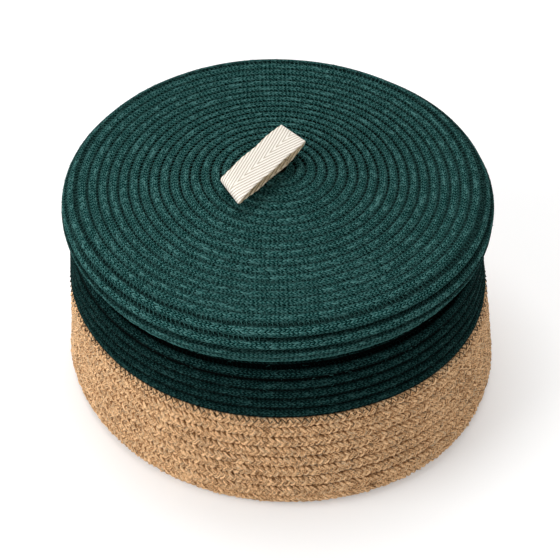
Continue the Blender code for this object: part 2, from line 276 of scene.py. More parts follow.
@dataclass
class Coil:
    """A rope's centre line: a cross-section line turned round the axis, one pitch farther on with each loop.

    Each point lies one pitch from the point of the loop before it, measured straight across.
    """

    line: np.ndarray
    start: float
    pitches: tuple[float, float]
    pitch_change_height: float
    first_angle: float
    sense: Sense
    side: Side
    sizes: Sizes
    leans: bool
    unevenness: float = 0.0006
    side_waves: Waves = ((1.0, 0.9, 2, 0), (0.7, 2.1, 3, 60), (0.5, 4.0, 5, 0))
    rise_waves: Waves = ((0.8, 1.3, 3, 0), (0.48, 0.0, 4, 25))
    calm_rows: int = 4
    lengths: np.ndarray = field(init=False)
    stations: np.ndarray = field(init=False)

    def __post_init__(self) -> None:
        """Winds the coil along its line until the line ends."""
        self.lengths = run_lengths(self.line)
        steps = np.arange(SAMPLES_PER_LOOP) / SAMPLES_PER_LOOP
        loops = [self.start + self.pitch_at(self.start) * steps]
        while loops[-1][0] < self.lengths[-1]:
            loops.append(self.next_loop(loops[-1]))
        stations = np.concatenate(loops)
        self.stations = stations[stations <= self.lengths[-1]]

    def read(self, length: np.ndarray) -> np.ndarray:
        """(radius, height) at lengths along the line."""
        return np.stack([np.interp(length, self.lengths, self.line[:, axis]) for axis in (0, 1)], axis=-1)

    def pitch_at(self, length: np.ndarray) -> np.ndarray:
        """The rope's pitch at lengths along the line, where a thinner rope may take over at a height."""
        return np.where(self.read(length)[..., 1] < self.pitch_change_height, *self.pitches)

    def next_loop(self, before: np.ndarray) -> np.ndarray:
        """Lengths along the line of the loop after the given one, found by halving.

        Args:
            before: The lengths of the points of one loop.

        Returns:
            The lengths one loop on, each a pitch away straight across.
        """
        pitch = (self.pitch_at(before) + self.pitch_at(before + self.pitches[0])) / 2
        here = self.read(before)
        low = before.copy()
        high = before + 2 * pitch
        beyond = np.maximum(high - self.lengths[-1], 0)
        for _ in range(32):
            middle = (low + high) / 2
            near = np.linalg.norm(self.read(middle) - here, axis=-1) < pitch
            low = np.where(near, middle, low)
            high = np.where(near, high, middle)
        return np.where(beyond > 0, np.maximum(high, before + pitch), high)

    @property
    def loops(self) -> float:
        """How many loops the coil has."""
        return (len(self.stations) - 1) / SAMPLES_PER_LOOP

    def length_at(self, loop: np.ndarray) -> np.ndarray:
        """Lengths along the cross-section line at places given in loops from the coil's start."""
        return np.interp(loop, np.arange(len(self.stations)) / SAMPLES_PER_LOOP, self.stations)

    def half_pitch(self, loop: np.ndarray) -> np.ndarray:
        """Half the rope's pitch at places given in loops from the coil's start."""
        return self.pitch_at(self.length_at(loop)) / 2

    def place(self, loop: np.ndarray) -> tuple[np.ndarray, np.ndarray, np.ndarray]:
        """The coil's points and directions at places given in loops.

        The radius and height are read from the line and turned to the loop's angle. Slow waves of half a
        millimetre or so, nearly the same for neighbouring turns, make it as uneven as handwork. Over the
        lowest rows their rise and fall fades out, so that the foot stands flat.

        Args:
            loop: Places along the coil, in loops from its start.

        Returns:
            Points, unit vectors across to the next turn, and unit vectors out of the object.
        """
        length = self.length_at(loop)
        radius, height = np.moveaxis(self.read(length), -1, 0)
        reach = self.pitches[1] / 2
        radius_step, height_step = np.moveaxis(self.read(length + reach) - self.read(length - reach), -1, 0)
        span = np.hypot(radius_step, height_step)
        radius_step, height_step = radius_step / span, height_step / span
        angle = self.first_angle + self.sense.value * 2 * math.pi * loop
        if self.leans:
            radius = radius * self.sizes.oval_at(angle, height)
        else:
            radius = radius + self.sizes.bulge_at(angle, height)
        size = self.unevenness * radius / self.sizes.base_radius
        calm = np.clip(height / self.sizes.jute_rope / self.calm_rows, 0, 1)
        lift = size * waves(self.rise_waves, angle, radius) * calm
        radius = radius + size * waves(self.side_waves, angle, height)
        cosine, sine = np.cos(angle), np.sin(angle)
        points = np.stack([radius * cosine, radius * sine, height + lift], axis=-1)
        points += self.sizes.lean_at(height) if self.leans else self.sizes.lid_place
        across = np.stack([radius_step * cosine, radius_step * sine, height_step], axis=-1)
        out_radius, out_height = height_step * self.side.value, -radius_step * self.side.value
        out = np.stack([out_radius * cosine, out_radius * sine, out_height], axis=-1)
        return points, across, out

    def even_places(self, first: float, last: float, step: float) -> tuple[np.ndarray, np.ndarray]:
        """Places that lie evenly along the rope.

        Args:
            first: Where to start, in loops.
            last: Where to end, in loops.
            step: The rope's length between two places, about.

        Returns:
            The places in loops, and the rope's length from the coil's start to each.
        """
        dense = np.linspace(0, self.loops, 4 * len(self.stations))
        length = run_lengths(self.place(dense)[0])
        ends = np.interp([first, last], dense, length)
        along = np.linspace(*ends, max(2, round((ends[1] - ends[0]) / step) + 1))
        return np.interp(along, length, dense), along


def new_piece(
    name: str, vertices: np.ndarray, faces: list[np.ndarray], uv: np.ndarray | None
) -> bpy.types.Object:
    """Makes an object of arrays of vertices and faces, at the origin and shaded smooth, with its faces out.

    Args:
        name: The piece's name.
        vertices: Points, one a row.
        faces: Arrays of faces, each array with faces of one number of corners.
        uv: Texture coordinates of every corner, in the order of the faces, or None.

    Returns:
        The linked object.
    """
    mesh = bpy.data.meshes.new(name)
    mesh.vertices.add(len(vertices))
    mesh.vertices.foreach_set("co", vertices.astype(np.float32).ravel())
    corners = np.concatenate([block.ravel() for block in faces]).astype(np.int32)
    counts = np.concatenate([np.full(len(block), block.shape[1], np.int32) for block in faces])
    mesh.loops.add(len(corners))
    mesh.loops.foreach_set("vertex_index", corners)
    mesh.polygons.add(len(counts))
    mesh.polygons.foreach_set("loop_start", np.concatenate([[0], np.cumsum(counts)[:-1]]).astype(np.int32))
    if uv is not None:
        layer = mesh.uv_layers.new(name=ROPE_UV)
        layer.data.foreach_set("uv", uv.astype(np.float32).ravel())
    mesh.update(calc_edges=True)
    mesh.validate()
    mesh.shade_smooth()
    piece = bpy.data.objects.new(name, mesh)
    bpy.context.scene.collection.objects.link(piece)
    return piece


def tube_parts(
    grid: np.ndarray, along: np.ndarray, first: int
) -> tuple[np.ndarray, list[np.ndarray], np.ndarray]:
    """The arrays of a closed tube of rings with a flat cap at each end, or of many tubes of as many rings.

    Args:
        grid: Points by tube where there are many, by ring and by place round the ring, with the faces out.
        along: The first texture coordinate of each ring.
        first: The number that the first vertex has.

    Returns:
        Vertices, blocks of faces (the walls' quads, then the caps), and texture coordinates.
    """
    grid = grid.reshape(-1, *grid.shape[-3:])
    tubes, rings, sides = grid.shape[:3]
    along = np.broadcast_to(along, (tubes, rings))[..., None]
    number = first + np.arange(tubes * rings * sides).reshape(tubes, rings, sides)
    after = np.roll(number, -1, axis=2)
    quads = np.stack([number[:, :-1], after[:, :-1], after[:, 1:], number[:, 1:]], axis=-1).reshape(-1, 4)
    round_it = np.arange(sides) / sides
    low_u, high_u = along[:, :-1] + 0 * round_it, along[:, 1:] + 0 * round_it
    low_v, high_v = round_it + 0 * low_u, round_it + 1 / sides + 0 * low_u
    uv = np.stack([low_u, low_v, low_u, high_v, high_u, high_v, high_u, low_v], axis=-1).reshape(-1, 2)
    flat = 0 * round_it
    cap_uv = [np.stack([along[:, 0] + flat, round_it[::-1] + 0 * along[:, 0]], axis=-1).reshape(-1, 2)]
    cap_uv.append(np.stack([along[:, -1] + flat, round_it + 0 * along[:, -1]], axis=-1).reshape(-1, 2))
    return grid.reshape(-1, 3), [quads, number[:, 0, ::-1], number[:, -1]], np.concatenate([uv, *cap_uv])


def tubes_piece(name: str, grids: list[Tube]) -> bpy.types.Object:
    """One piece of several closed tubes.

    Args:
        name: The piece's name.
        grids: The tubes.

    Returns:
        The linked object.
    """
    vertices, faces, uv = [], [], []
    total = 0
    for grid, along in grids:
        tube_vertices, tube_faces, tube_uv = tube_parts(grid, along, total)
        total += len(tube_vertices)
        vertices.append(tube_vertices)
        faces.extend(tube_faces)
        uv.append(tube_uv)
    return new_piece(name, np.concatenate(vertices), faces, np.concatenate(uv))


def swept(
    points: np.ndarray, side: np.ndarray, up: np.ndarray, width: np.ndarray, depth: np.ndarray
) -> np.ndarray:
    """A cross-section carried along a path: each point moves by its width along side and its depth along up.

    Args:
        points: The path.
        side: Unit vectors across the path.
        up: Unit vectors square to the path and to side.
        width: Sideways reach by ring and place round the ring.
        depth: Upward reach by ring and place round the ring.

    Returns:
        Points by ring and place round the ring.
    """
    grid = points[:, None] + side[:, None] * width[..., None] + up[:, None] * depth[..., None]
    tangent = np.gradient(points, axis=0)
    turns_out = np.einsum("ij,ij->i", np.cross(side, up), tangent).sum() < 0
    return grid[:, ::-1] if turns_out else grid


def path_frames(points: np.ndarray, up: np.ndarray) -> tuple[np.ndarray, np.ndarray]:
    """The directions square to a path: across it, by the cross product with up, and square to both.

    Args:
        points: The path.
        up: A vector for each point that isn't along the path.

    Returns:
        Unit vectors across the path, and unit vectors as near as can be to the given up vectors.
    """
    tangent = np.gradient(points, axis=0)
    side = unit(np.cross(up, tangent))
    return side, unit(np.cross(tangent, side))


def round_tube(points: np.ndarray, up: np.ndarray, radius: float, sides: int) -> Tube:
    """A plain round tube along a path: each ring is a circle square to the path.

    Args:
        points: The path.
        up: A vector for each point that isn't along the path.
        radius: The tube's radius.
        sides: Places round a ring.

    Returns:
        The grid and the length at each ring.
    """
    side, true_up = path_frames(points, up)
    angle = np.linspace(0, 2 * math.pi, sides, endpoint=False) + 0 * points[:, :1]
    grid = swept(points, side, true_up, radius * np.cos(angle), radius * np.sin(angle))
    return grid, run_lengths(points)


def hair_tubes(paths: np.ndarray, radius: float, sides: int = 3) -> Tube:
    """Thin tubes along many short paths at once, each half as thick at its end as at its start.

    Each hair's lengths start a little farther on than the last one's, so that no two show the same colours.

    Args:
        paths: Points by hair and place along it.
        radius: The radius where a hair starts.
        sides: Places round a ring.

    Returns:
        Points by hair, ring and place round the ring, and each ring's length along its hair.
    """
    tangent = unit(np.gradient(paths, axis=1))
    upright = np.abs(tangent[..., 2:]) > 0.8
    side = unit(np.cross(np.where(upright, (1.0, 0.0, 0.0), (0.0, 0.0, 1.0)), tangent))
    up = np.cross(tangent, side)
    angle = np.linspace(0, 2 * math.pi, sides, endpoint=False)[:, None]
    taper = np.linspace(1, 0.5, paths.shape[1])[:, None, None]
    spokes = side[:, :, None] * np.cos(angle) + up[:, :, None] * np.sin(angle)
    grid = paths[:, :, None] + radius * taper * spokes
    steps = np.linalg.norm(np.diff(paths, axis=1, prepend=paths[:, :1]), axis=-1)
    return grid, np.cumsum(steps, axis=1) + np.arange(len(paths))[:, None] * HAIR_OFFSET


class Graph:
    """A material's node tree, with short calls for the nodes that the finishes use."""

    def __init__(self, name: str) -> None:
        """Starts a material with a Principled shader and its output.

        Args:
            name: The material's name.
        """
        self.material = bpy.data.materials.new(name)
        self.material.use_nodes = True
        self.tree = self.material.node_tree
        self.shader = self.tree.nodes["Principled BSDF"]

    def node(self, kind: str, inputs: dict | None = None, **settings: object) -> bpy.types.Node:
        """Adds a node.

        Args:
            kind: The node's type, without the leading ShaderNode.
            inputs: Values or sockets by input name or number.
            settings: The node's own settings.

        Returns:
            The node.
        """
        made = self.tree.nodes.new("ShaderNode" + kind)
        for key, value in settings.items():
            setattr(made, key, value)
        for key, value in (inputs or {}).items():
            if isinstance(value, Socket):
                self.tree.links.new(value, made.inputs[key])
            else:
                made.inputs[key].default_value = value
        return made

    def math(self, operation: str, *values: object) -> Socket:
        """A Math node's result."""
        return self.node("Math", dict(enumerate(values)), operation=operation).outputs[0]

    def ramp(self, factor: Socket, stops: list[tuple[float, tuple]]) -> Socket:
        """A colour ramp's colour.

        Args:
            factor: What drives the ramp.
            stops: Each stop's place and colour, in order.

        Returns:
            The colour socket.
        """
        made = self.node("ValToRGB", {0: factor})
        elements = made.color_ramp.elements
        for place, _ in stops[2:]:
            elements.new(place)
        for element, (place, colour) in zip(elements, stops):
            element.position = place
            element.color = (*colour, 1)
        return made.outputs[0]

    def mix(self, factor: object, first: object, second: object, blend: str = "MIX") -> Socket:
        """A colour mix.

        Args:
            factor: How much of the second colour there is, as a number or a socket.
            first: The colour at factor 0, or its socket.
            second: The colour at factor 1, or its socket.
            blend: How the second colour is laid over the first.

        Returns:
            The colour socket.
        """
        made = self.node("Mix", {"Factor": factor}, data_type="RGBA", blend_type=blend)
        for key, value in ((6, first), (7, second)):
            if isinstance(value, Socket):
                self.tree.links.new(value, made.inputs[key])
            else:
                made.inputs[key].default_value = (*value, 1)
        return made.outputs[2]

    def tinted(self, amount: Socket, colour: Socket, shade: Socket | Colour) -> Socket:
        """A colour that is multiplied by a shade where the amount is 1."""
        return self.mix(amount, colour, self.mix(1.0, colour, shade, "MULTIPLY"))

    def varied(self, base: Socket | float, noise: Socket, share: float) -> Socket:
        """A base value, plus a share of how far a noise is from a half."""
        return self.math("MULTIPLY_ADD", self.math("SUBTRACT", noise, 0.5), share, base)

    def wave(self, phase: Socket) -> Socket:
        """A sine from 0 to 1 of a phase in turns."""
        sine = self.math("SINE", self.math("MULTIPLY", phase, 2 * math.pi))
        return self.math("MULTIPLY_ADD", sine, 0.5, 0.5)

    def uv(self) -> tuple[Socket, Socket]:
        """The length along the rope in metres, and the place round it from 0 to 1."""
        made = self.node("SeparateXYZ", {0: self.node("UVMap", uv_map=ROPE_UV).outputs[0]})
        return made.outputs[0], made.outputs[1]

    def noise(self, vector: Socket, scale: float, detail: float = 3.0) -> Socket:
        """A noise texture's value on a vector."""
        inputs = {"Vector": vector, "Scale": scale, "Detail": detail}
        return self.node("TexNoise", inputs).outputs[0]

    def vector(self, *values: object) -> Socket:
        """A vector of three values or sockets."""
        return self.node("CombineXYZ", dict(enumerate(values))).outputs[0]

    def place(self) -> Socket:
        """Object coordinates."""
        return self.node("TexCoord").outputs["Object"]

    def above(self, place: Socket, height: float, fade: float) -> Socket:
        """A value that is 0 low on the object and 1 high on it, with an even change between.

        Args:
            place: Object coordinates.
            height: The height at which it reaches 1.
            fade: How far below that height it starts to rise.

        Returns:
            The value's socket.
        """
        level = self.node("SeparateXYZ", {0: place}).outputs[2]
        inputs = {"Value": level, "From Min": height - fade, "From Max": height}
        return self.node("MapRange", inputs).outputs[0]

    def flank(self, turn: Socket) -> Socket:
        """A value that is 1 where a rope meets its neighbours and 0 at its crown: a cosine round the rope."""
        return self.math("ABSOLUTE", self.math("COSINE", self.math("MULTIPLY", turn, 2 * math.pi)))

    def surface(self, roughness: float, specular: float) -> None:
        """Sets how rough and how shiny the surface is."""
        self.shader.inputs["Roughness"].default_value = roughness
        self.shader.inputs["Specular IOR Level"].default_value = specular

    def finish(self, colour: Socket, height: Socket, relief: float) -> None:
        """Links the colour, and the height as a bump.

        Args:
            colour: The base colour's socket.
            height: The bump's height, from about 0 to 1.
            relief: The bump's full height in metres.
        """
        bump = self.node("Bump", {"Height": height, "Distance": relief, "Strength": 1.0})
        self.tree.links.new(colour, self.shader.inputs["Base Color"])
        self.tree.links.new(bump.outputs[0], self.shader.inputs["Normal"])


@dataclass(frozen=True)
class CottonFinish:
    """Knitted cotton cord: columns of V stitches run along it, with painted shade in the hollows between
    them.
    """

    name: str
    groove: tuple[float, float]
    groove_shade: float
    soft_below: float
    light: Colour = (0.104, 0.268, 0.254)
    middle: Colour = (0.0145, 0.088, 0.081)
    dark: Colour = (0.0002, 0.012, 0.011)
    columns: int = 10
    stitch: float = 0.0027
    slant: float = 1.5
    wobble_rate: float = 160.0
    patch_scale: float = 45.0
    patch_share: float = 0.10
    fuzz_scale: float = 1300.0
    fuzz_share: float = 1.5
    fuzz_relief: float = 0.25
    fleck_share: float = 0.8
    tone_scale: float = 0.7
    soft_share: float = 0.65
    soft_fade: float = 0.004
    roughness: float = 0.95
    specular: float = 0.02
    relief: float = 0.0012

    def make(self) -> bpy.types.Material:
        """Builds the material: a stitch's height is a rounded bar that slants away from its column's middle.

        Down to the height soft_below the grooves between the turns take dark painted shade, and below it a
        softer painted shade.

        Returns:
            The material.
        """
        graph = Graph(self.name)
        length, turn = graph.uv()
        column = graph.math("MULTIPLY", turn, self.columns)
        across = graph.math("ABSOLUTE", graph.math("SUBTRACT", graph.math("FRACT", column), 0.5))
        sway = graph.vector(graph.math("MULTIPLY", length, self.wobble_rate), column, 0.0)
        wobble = graph.noise(sway, 1.0, 2.0)
        row = graph.math("DIVIDE", length, self.stitch)
        slope = graph.math("MULTIPLY", across, self.slant)
        slanted = graph.math("ADD", graph.math("ADD", row, slope), wobble)
        groove = graph.math("SINE", graph.math("MULTIPLY", across, 2 * math.pi))
        groove = graph.math("POWER", graph.math("ABSOLUTE", groove), 0.6)
        height = graph.math("MULTIPLY", graph.math("POWER", graph.wave(slanted), 0.8), groove)
        place = graph.place()
        patches = graph.noise(place, self.patch_scale, 4.0)
        fuzz = graph.noise(place, self.fuzz_scale, 2.0)
        leg = graph.math("FLOOR", graph.math("MULTIPLY", column, 2.0))
        cell = graph.vector(graph.math("FLOOR", slanted), leg, 0.0)
        chance = graph.node("TexWhiteNoise", {"Vector": cell}).outputs["Value"]
        # The tone starts from the stitch's height, so the hollows take painted shade; fuzz, flecks and
        # patches vary it at random.
        tone = graph.varied(height, fuzz, self.fuzz_share)
        tone = graph.math("MULTIPLY_ADD", graph.math("POWER", chance, 5.0), self.fleck_share, tone)
        tone = graph.varied(tone, patches, self.patch_share)
        tones = [(0.08, self.dark), (0.34, self.middle), (0.82, self.light)]
        colour = graph.ramp(graph.math("MULTIPLY", tone, self.tone_scale), tones)
        # Painted shade in the grooves where the turns meet, laid by the flank mask.
        stops = [(self.groove[0], (1.0, 1.0, 1.0)), (self.groove[1], (self.groove_shade,) * 3)]
        shade = graph.ramp(graph.flank(turn), stops)
        amount = graph.above(place, self.soft_below, self.soft_fade)
        amount = graph.math("MULTIPLY_ADD", amount, 1 - self.soft_share, self.soft_share)
        colour = graph.tinted(amount, colour, shade)
        graph.surface(self.roughness, self.specular)
        graph.finish(colour, graph.math("MULTIPLY_ADD", fuzz, self.fuzz_relief, height), self.relief)
        return graph.material


@dataclass(frozen=True)
class JuteFinish:
    """Braided jute: strands of dry fibres that run along the strand, lighter where they catch the light."""

    name: str = "braided_jute"
    light: Colour = (1.0, 0.66, 0.37)
    middle: Colour = (0.62, 0.345, 0.160)
    dark: Colour = (0.12, 0.050, 0.018)
    bundle_rates: tuple[float, float] = (110.0, 9.0)
    bundle_share: float = 0.4
    thread_rates: tuple[float, float] = (170.0, 28.0)
    thread_share: float = 0.9
    patch_scale: float = 60.0
    patch_share: float = 0.12
    speck_scale: float = 1300.0
    speck_share: float = 0.8
    flank_start: float = 0.55
    flank_shade: Colour = (0.46, 0.37, 0.28)
    foot_height: float = 0.016
    foot_fade: float = 0.008
    roughness: float = 0.62
    specular: float = 0.10
    relief: float = 0.0008

    def make(self) -> bpy.types.Material:
        """Builds the material: noise drawn out along the strand makes its fibres, in three tones of straw.

        The strands' flanks take painted shade, but for the row at the foot, which turns its flank to the
        light.

        Returns:
            The material.
        """
        graph = Graph(self.name)
        length, turn = graph.uv()
        coarse, fine = (
            graph.vector(graph.math("MULTIPLY", length, run), graph.math("MULTIPLY", turn, ring), layer)
            for (run, ring), layer in ((self.bundle_rates, 0.0), (self.thread_rates, 3.0))
        )
        fibres = graph.varied(0.5, graph.noise(coarse, 1.0, 2.0), self.bundle_share)
        fibres = graph.varied(fibres, graph.noise(fine, 1.0, 1.0), self.thread_share)
        place = graph.place()
        tone = graph.varied(fibres, graph.noise(place, self.patch_scale, 3.0), self.patch_share)
        tone = graph.varied(tone, graph.noise(place, self.speck_scale, 2.0), self.speck_share)
        colour = graph.ramp(tone, [(0.34, self.dark), (0.46, self.middle), (0.60, self.light)])
        # Painted shade on the strands' flanks, laid by the flank mask and left off below foot_height.
        shade = graph.ramp(graph.flank(turn), [(self.flank_start, (1.0, 1.0, 1.0)), (1.0, self.flank_shade)])
        amount = graph.above(place, self.foot_height, self.foot_fade)
        colour = graph.tinted(amount, colour, shade)
        graph.surface(self.roughness, self.specular)
        graph.finish(colour, fibres, self.relief)
        return graph.material


@dataclass(frozen=True)
class ThreadFinish:
    """Sewing thread: two plies twisted, with a slight shine."""

    name: str
    colour: Colour
    twist: float = 0.0011
    shade: float = 0.45
    plies: float = 2.0
    roughness: float = 0.8
    specular: float = 0.03
    relief: float = 0.0001

    def make(self) -> bpy.types.Material:
        """Builds the material: the twist is a wave that runs along and round the thread.

        Returns:
            The material.
        """
        graph = Graph(self.name)
        length, turn = graph.uv()
        phase = graph.math("DIVIDE", length, self.twist)
        phase = graph.math("ADD", phase, graph.math("MULTIPLY", turn, self.plies))
        wave = graph.wave(phase)
        dark = tuple(self.shade * value for value in self.colour)
        colour = graph.mix(wave, dark, self.colour)
        graph.surface(self.roughness, self.specular)
        graph.finish(colour, wave, self.relief)
        return graph.material


@dataclass(frozen=True)
class TapeFinish:
    """Cream cotton tape: ribs that meet in a V along its middle, crossed by fine yarns."""

    name: str = "cream_herringbone_tape"
    light: Colour = (0.90, 0.85, 0.77)
    dark: Colour = (0.44, 0.36, 0.27)
    # Faces inside the loop are multiplied by this warm tint: a painted shade inside the loop, warmed as by
    # light through the thin tape.
    inner: Colour = (1.0, 0.91, 0.73)
    rib_pitch: float = 0.0068
    rib_slope: float = 3.3
    yarn: float = 0.0011
    yarn_share: float = 0.06
    wobble_rate: float = 150.0
    wobble_share: float = 0.25
    fuzz_scale: float = 1800.0
    fuzz_share: float = 0.5
    roughness: float = 0.85
    specular: float = 0.2
    relief: float = 0.0004

    def make(self) -> bpy.types.Material:
        """Builds the material: a rib's phase grows along the tape and away from its middle, to make the V.

        The mesh holds the way along the tape and across it, in metres, and which face is inside the loop.

        Returns:
            The material.
        """
        graph = Graph(self.name)
        along, across, inside = (
            graph.node("Attribute", attribute_name=name).outputs["Fac"]
            for name in ("along", "across", "inside")
        )
        sway = [graph.math("MULTIPLY", way, self.wobble_rate) for way in (along, across)]
        wobble = graph.noise(graph.vector(*sway, 0.0), 1.0)
        aside = graph.math("MULTIPLY", graph.math("ABSOLUTE", across), self.rib_slope)
        phase = graph.math("DIVIDE", graph.math("ADD", along, aside), self.rib_pitch)
        phase = graph.math("MULTIPLY_ADD", wobble, self.wobble_share, phase)
        rib = graph.math("ABSOLUTE", graph.math("SINE", graph.math("MULTIPLY", phase, math.pi)))
        yarns = graph.math("SINE", graph.math("MULTIPLY", along, 2 * math.pi / self.yarn))
        height = graph.math("MULTIPLY_ADD", yarns, self.yarn_share, rib)
        fuzz = graph.noise(graph.place(), self.fuzz_scale, 3.0)
        tone = graph.varied(height, fuzz, self.fuzz_share)
        colour = graph.ramp(tone, [(0.12, self.dark), (0.66, self.light)])
        # Faces inside the loop take the inner tint, a warm painted shade.
        colour = graph.tinted(inside, colour, self.inner)
        graph.surface(self.roughness, self.specular)
        graph.finish(colour, graph.math("MULTIPLY_ADD", fuzz, self.fuzz_share, height), self.relief)
        return graph.material


@dataclass(frozen=True)
class Finishes:
    """The finishes, made once each."""

    lid_cotton: bpy.types.Material
    wall_cotton: bpy.types.Material
    jute: bpy.types.Material
    pale_thread: bpy.types.Material
    dark_thread: bpy.types.Material
    tape: bpy.types.Material
    cream_thread: bpy.types.Material
    jute_fibre: bpy.types.Material

    @classmethod
    def make(cls) -> Finishes:
        """Builds every material.

        Returns:
            The finishes.
        """
        # The wall's cord is the lid's cord in darker colours: the painted shadow of the lid over it, with
        # stronger painted shade in its grooves.
        wall_cotton = CottonFinish(
            "green_wall_cord",
            groove=(0.45, 0.84),
            groove_shade=0.02,
            soft_below=0.0,
            light=(0.030, 0.086, 0.082),
            middle=(0.003, 0.028, 0.026),
            dark=(0.0001, 0.0045, 0.0045),
        )
        return cls(
            lid_cotton=CottonFinish("green_lid_cord", (0.76, 0.97), 0.03, 0.1570).make(),
            wall_cotton=wall_cotton.make(),
            jute=JuteFinish().make(),
            pale_thread=ThreadFinish("pale_green_thread", (0.080, 0.250, 0.230)).make(),
            dark_thread=ThreadFinish("dark_green_thread", (0.003, 0.016, 0.015)).make(),
            tape=TapeFinish().make(),
            cream_thread=ThreadFinish("cream_thread", (0.86, 0.80, 0.70)).make(),
            jute_fibre=ThreadFinish("loose_jute_fibre", (1.0, 0.79, 0.53), 0.0043, 0.80).make(),
        )


def dress(
    piece: bpy.types.Object, finish: bpy.types.Material, body: str, nodes: tuple = ()
) -> None:
    """Gives a piece its finish, its body and the solids that it stands for, and reports it.

    Args:
        piece: The piece.
        finish: Its material.
        body: The body that it rides on.
        nodes: The solids that it replaces.
    """
    piece.data.materials.append(finish)
    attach(piece, body)
    if nodes:
        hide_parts(*nodes)
    LOG.info("%s: %d faces on %s", piece.name, len(piece.data.polygons), body)


# A loose fibre's place round the cord, heading, length, rise and bend, at least and at most.
FUZZ_LEAST = (0.6, 0.0, 0.0012, 0.0, -0.7)
FUZZ_MOST = (2.5, 2 * math.pi, 0.0040, 0.0006, 0.7)


@dataclass
class CottonRope:
    """Knitted cord laid on a coil, flattened a little where the turns press on each other."""

    coil: Coil
    fullness: float = 0.95
    stitch: float = 0.0054
    step: float = 0.0011
    sides: int = 16
    squareness: float = 0.74
    spread: float = 1.03
    pinch: float = 0.075
    fuzz_radius: float = 0.00013
    fuzz_points: int = 4
    breathing: Waves = ((0.02, 0.0, 1 / 0.037), (0.015, 1.0, 1 / 0.0113))
    edge_thread_radius: float = 0.00026
    edge_thread_lift: float = 1.03
    edge_thread_sway: Waves = ((0.10, 0.0, 1 / 0.0031), (0.07, 0.0, 1 / 0.0012))

    def section(self, angle: np.ndarray) -> tuple[np.ndarray, np.ndarray]:
        """The cord's cross-section, an ellipse with fuller corners.

        Args:
            angle: Angles from the way across to the way out.

        Returns:
            The reach across and the reach out, in half pitches.
        """
        cosine, sine = np.cos(angle), np.sin(angle)
        wide = np.sign(cosine) * np.abs(cosine) ** self.squareness * self.spread
        return wide, np.sign(sine) * np.abs(sine) ** self.squareness * self.fullness

    def surface(self, first: float, last: float) -> Tube:
        """The cord's surface between two places on its coil.

        At each stitch the flanks are drawn in, as a wave along the cord that fades towards its crown. Two
        slow sines make the cord a little thicker and thinner on its way.

        Args:
            first: Where it starts, in loops.
            last: Where it ends, in loops.

        Returns:
            The grid and the length at each ring.
        """
        loops, length = self.coil.even_places(first, last, self.step)
        points, across, out = self.coil.place(loops)
        angle = np.linspace(0, 2 * math.pi, self.sides, endpoint=False)
        wide, deep = self.section(angle)
        pulls = 0.5 + 0.5 * np.cos(2 * math.pi * length / self.stitch * 2)
        pull = 1 - self.pinch * pulls[:, None] * np.cos(angle) ** 2
        reach = self.coil.half_pitch(loops)[:, None] * pull
        thickness = 1 + waves(self.breathing, length)[:, None]
        return swept(points, across, out, wide * reach, deep * reach * thickness), length

    def fuzz(self, first: float, last: float, count: int, seed: int) -> Tube:
        """Short loose fibres on the cord's outer side, which rise off it as the square of the way along.

        Args:
            first: Where the cord starts, in loops.
            last: Where it ends, in loops.
            count: How many fibres there are.
            seed: The seed of their places.

        Returns:
            The fibres' grids and the length at each ring.
        """
        rng = np.random.default_rng(seed)
        loops = rng.choice(self.coil.even_places(first, last, 0.002)[0], count)
        points, across, out = self.coil.place(loops)
        turn, way, reach, rise, bend = rng.uniform(FUZZ_LEAST, FUZZ_MOST, (count, 5)).T[..., None]
        normal = across * np.cos(turn) + out * np.sin(turn)
        aside = out * np.cos(turn) - across * np.sin(turn)
        forward = np.cross(normal, aside)
        wide, deep = self.section(turn)
        start = points + (across * wide + out * deep) * self.coil.half_pitch(loops)[:, None]
        share = np.linspace(0, 1, self.fuzz_points)
        angle = (way + bend * share)[..., None]
        ways = forward[:, None] * np.cos(angle) + aside[:, None] * np.sin(angle) * 0.4
        run = ways * (reach * share)[..., None]
        lifted = normal[:, None] * (rise * share**2)[..., None]
        return hair_tubes(start[:, None] + run + lifted, self.fuzz_radius)

    def edge_thread(self, first: float, last: float, angle: float) -> Tube:
        """A thread that runs along the cord on its surface, and sways as two sines about an angle.

        Args:
            first: Where it starts, in loops.
            last: Where it ends, in loops.
            angle: Its mean place round the cord, from the way across to the way out.

        Returns:
            The grid and the length at each ring.
        """
        loops, length = self.coil.even_places(first, last, self.step)
        points, across, out = self.coil.place(loops)
        turn = angle + waves(self.edge_thread_sway, length)
        wide, deep = self.section(turn[:, None])
        reach = self.coil.half_pitch(loops)[:, None] * self.edge_thread_lift
        path = points + (across * wide + out * deep) * reach
        return round_tube(path, out, self.edge_thread_radius, 4)

    def piece(self, name: str, first: float, last: float) -> bpy.types.Object:
        """The cord between two places as a piece."""
        return tubes_piece(name, [self.surface(first, last)])


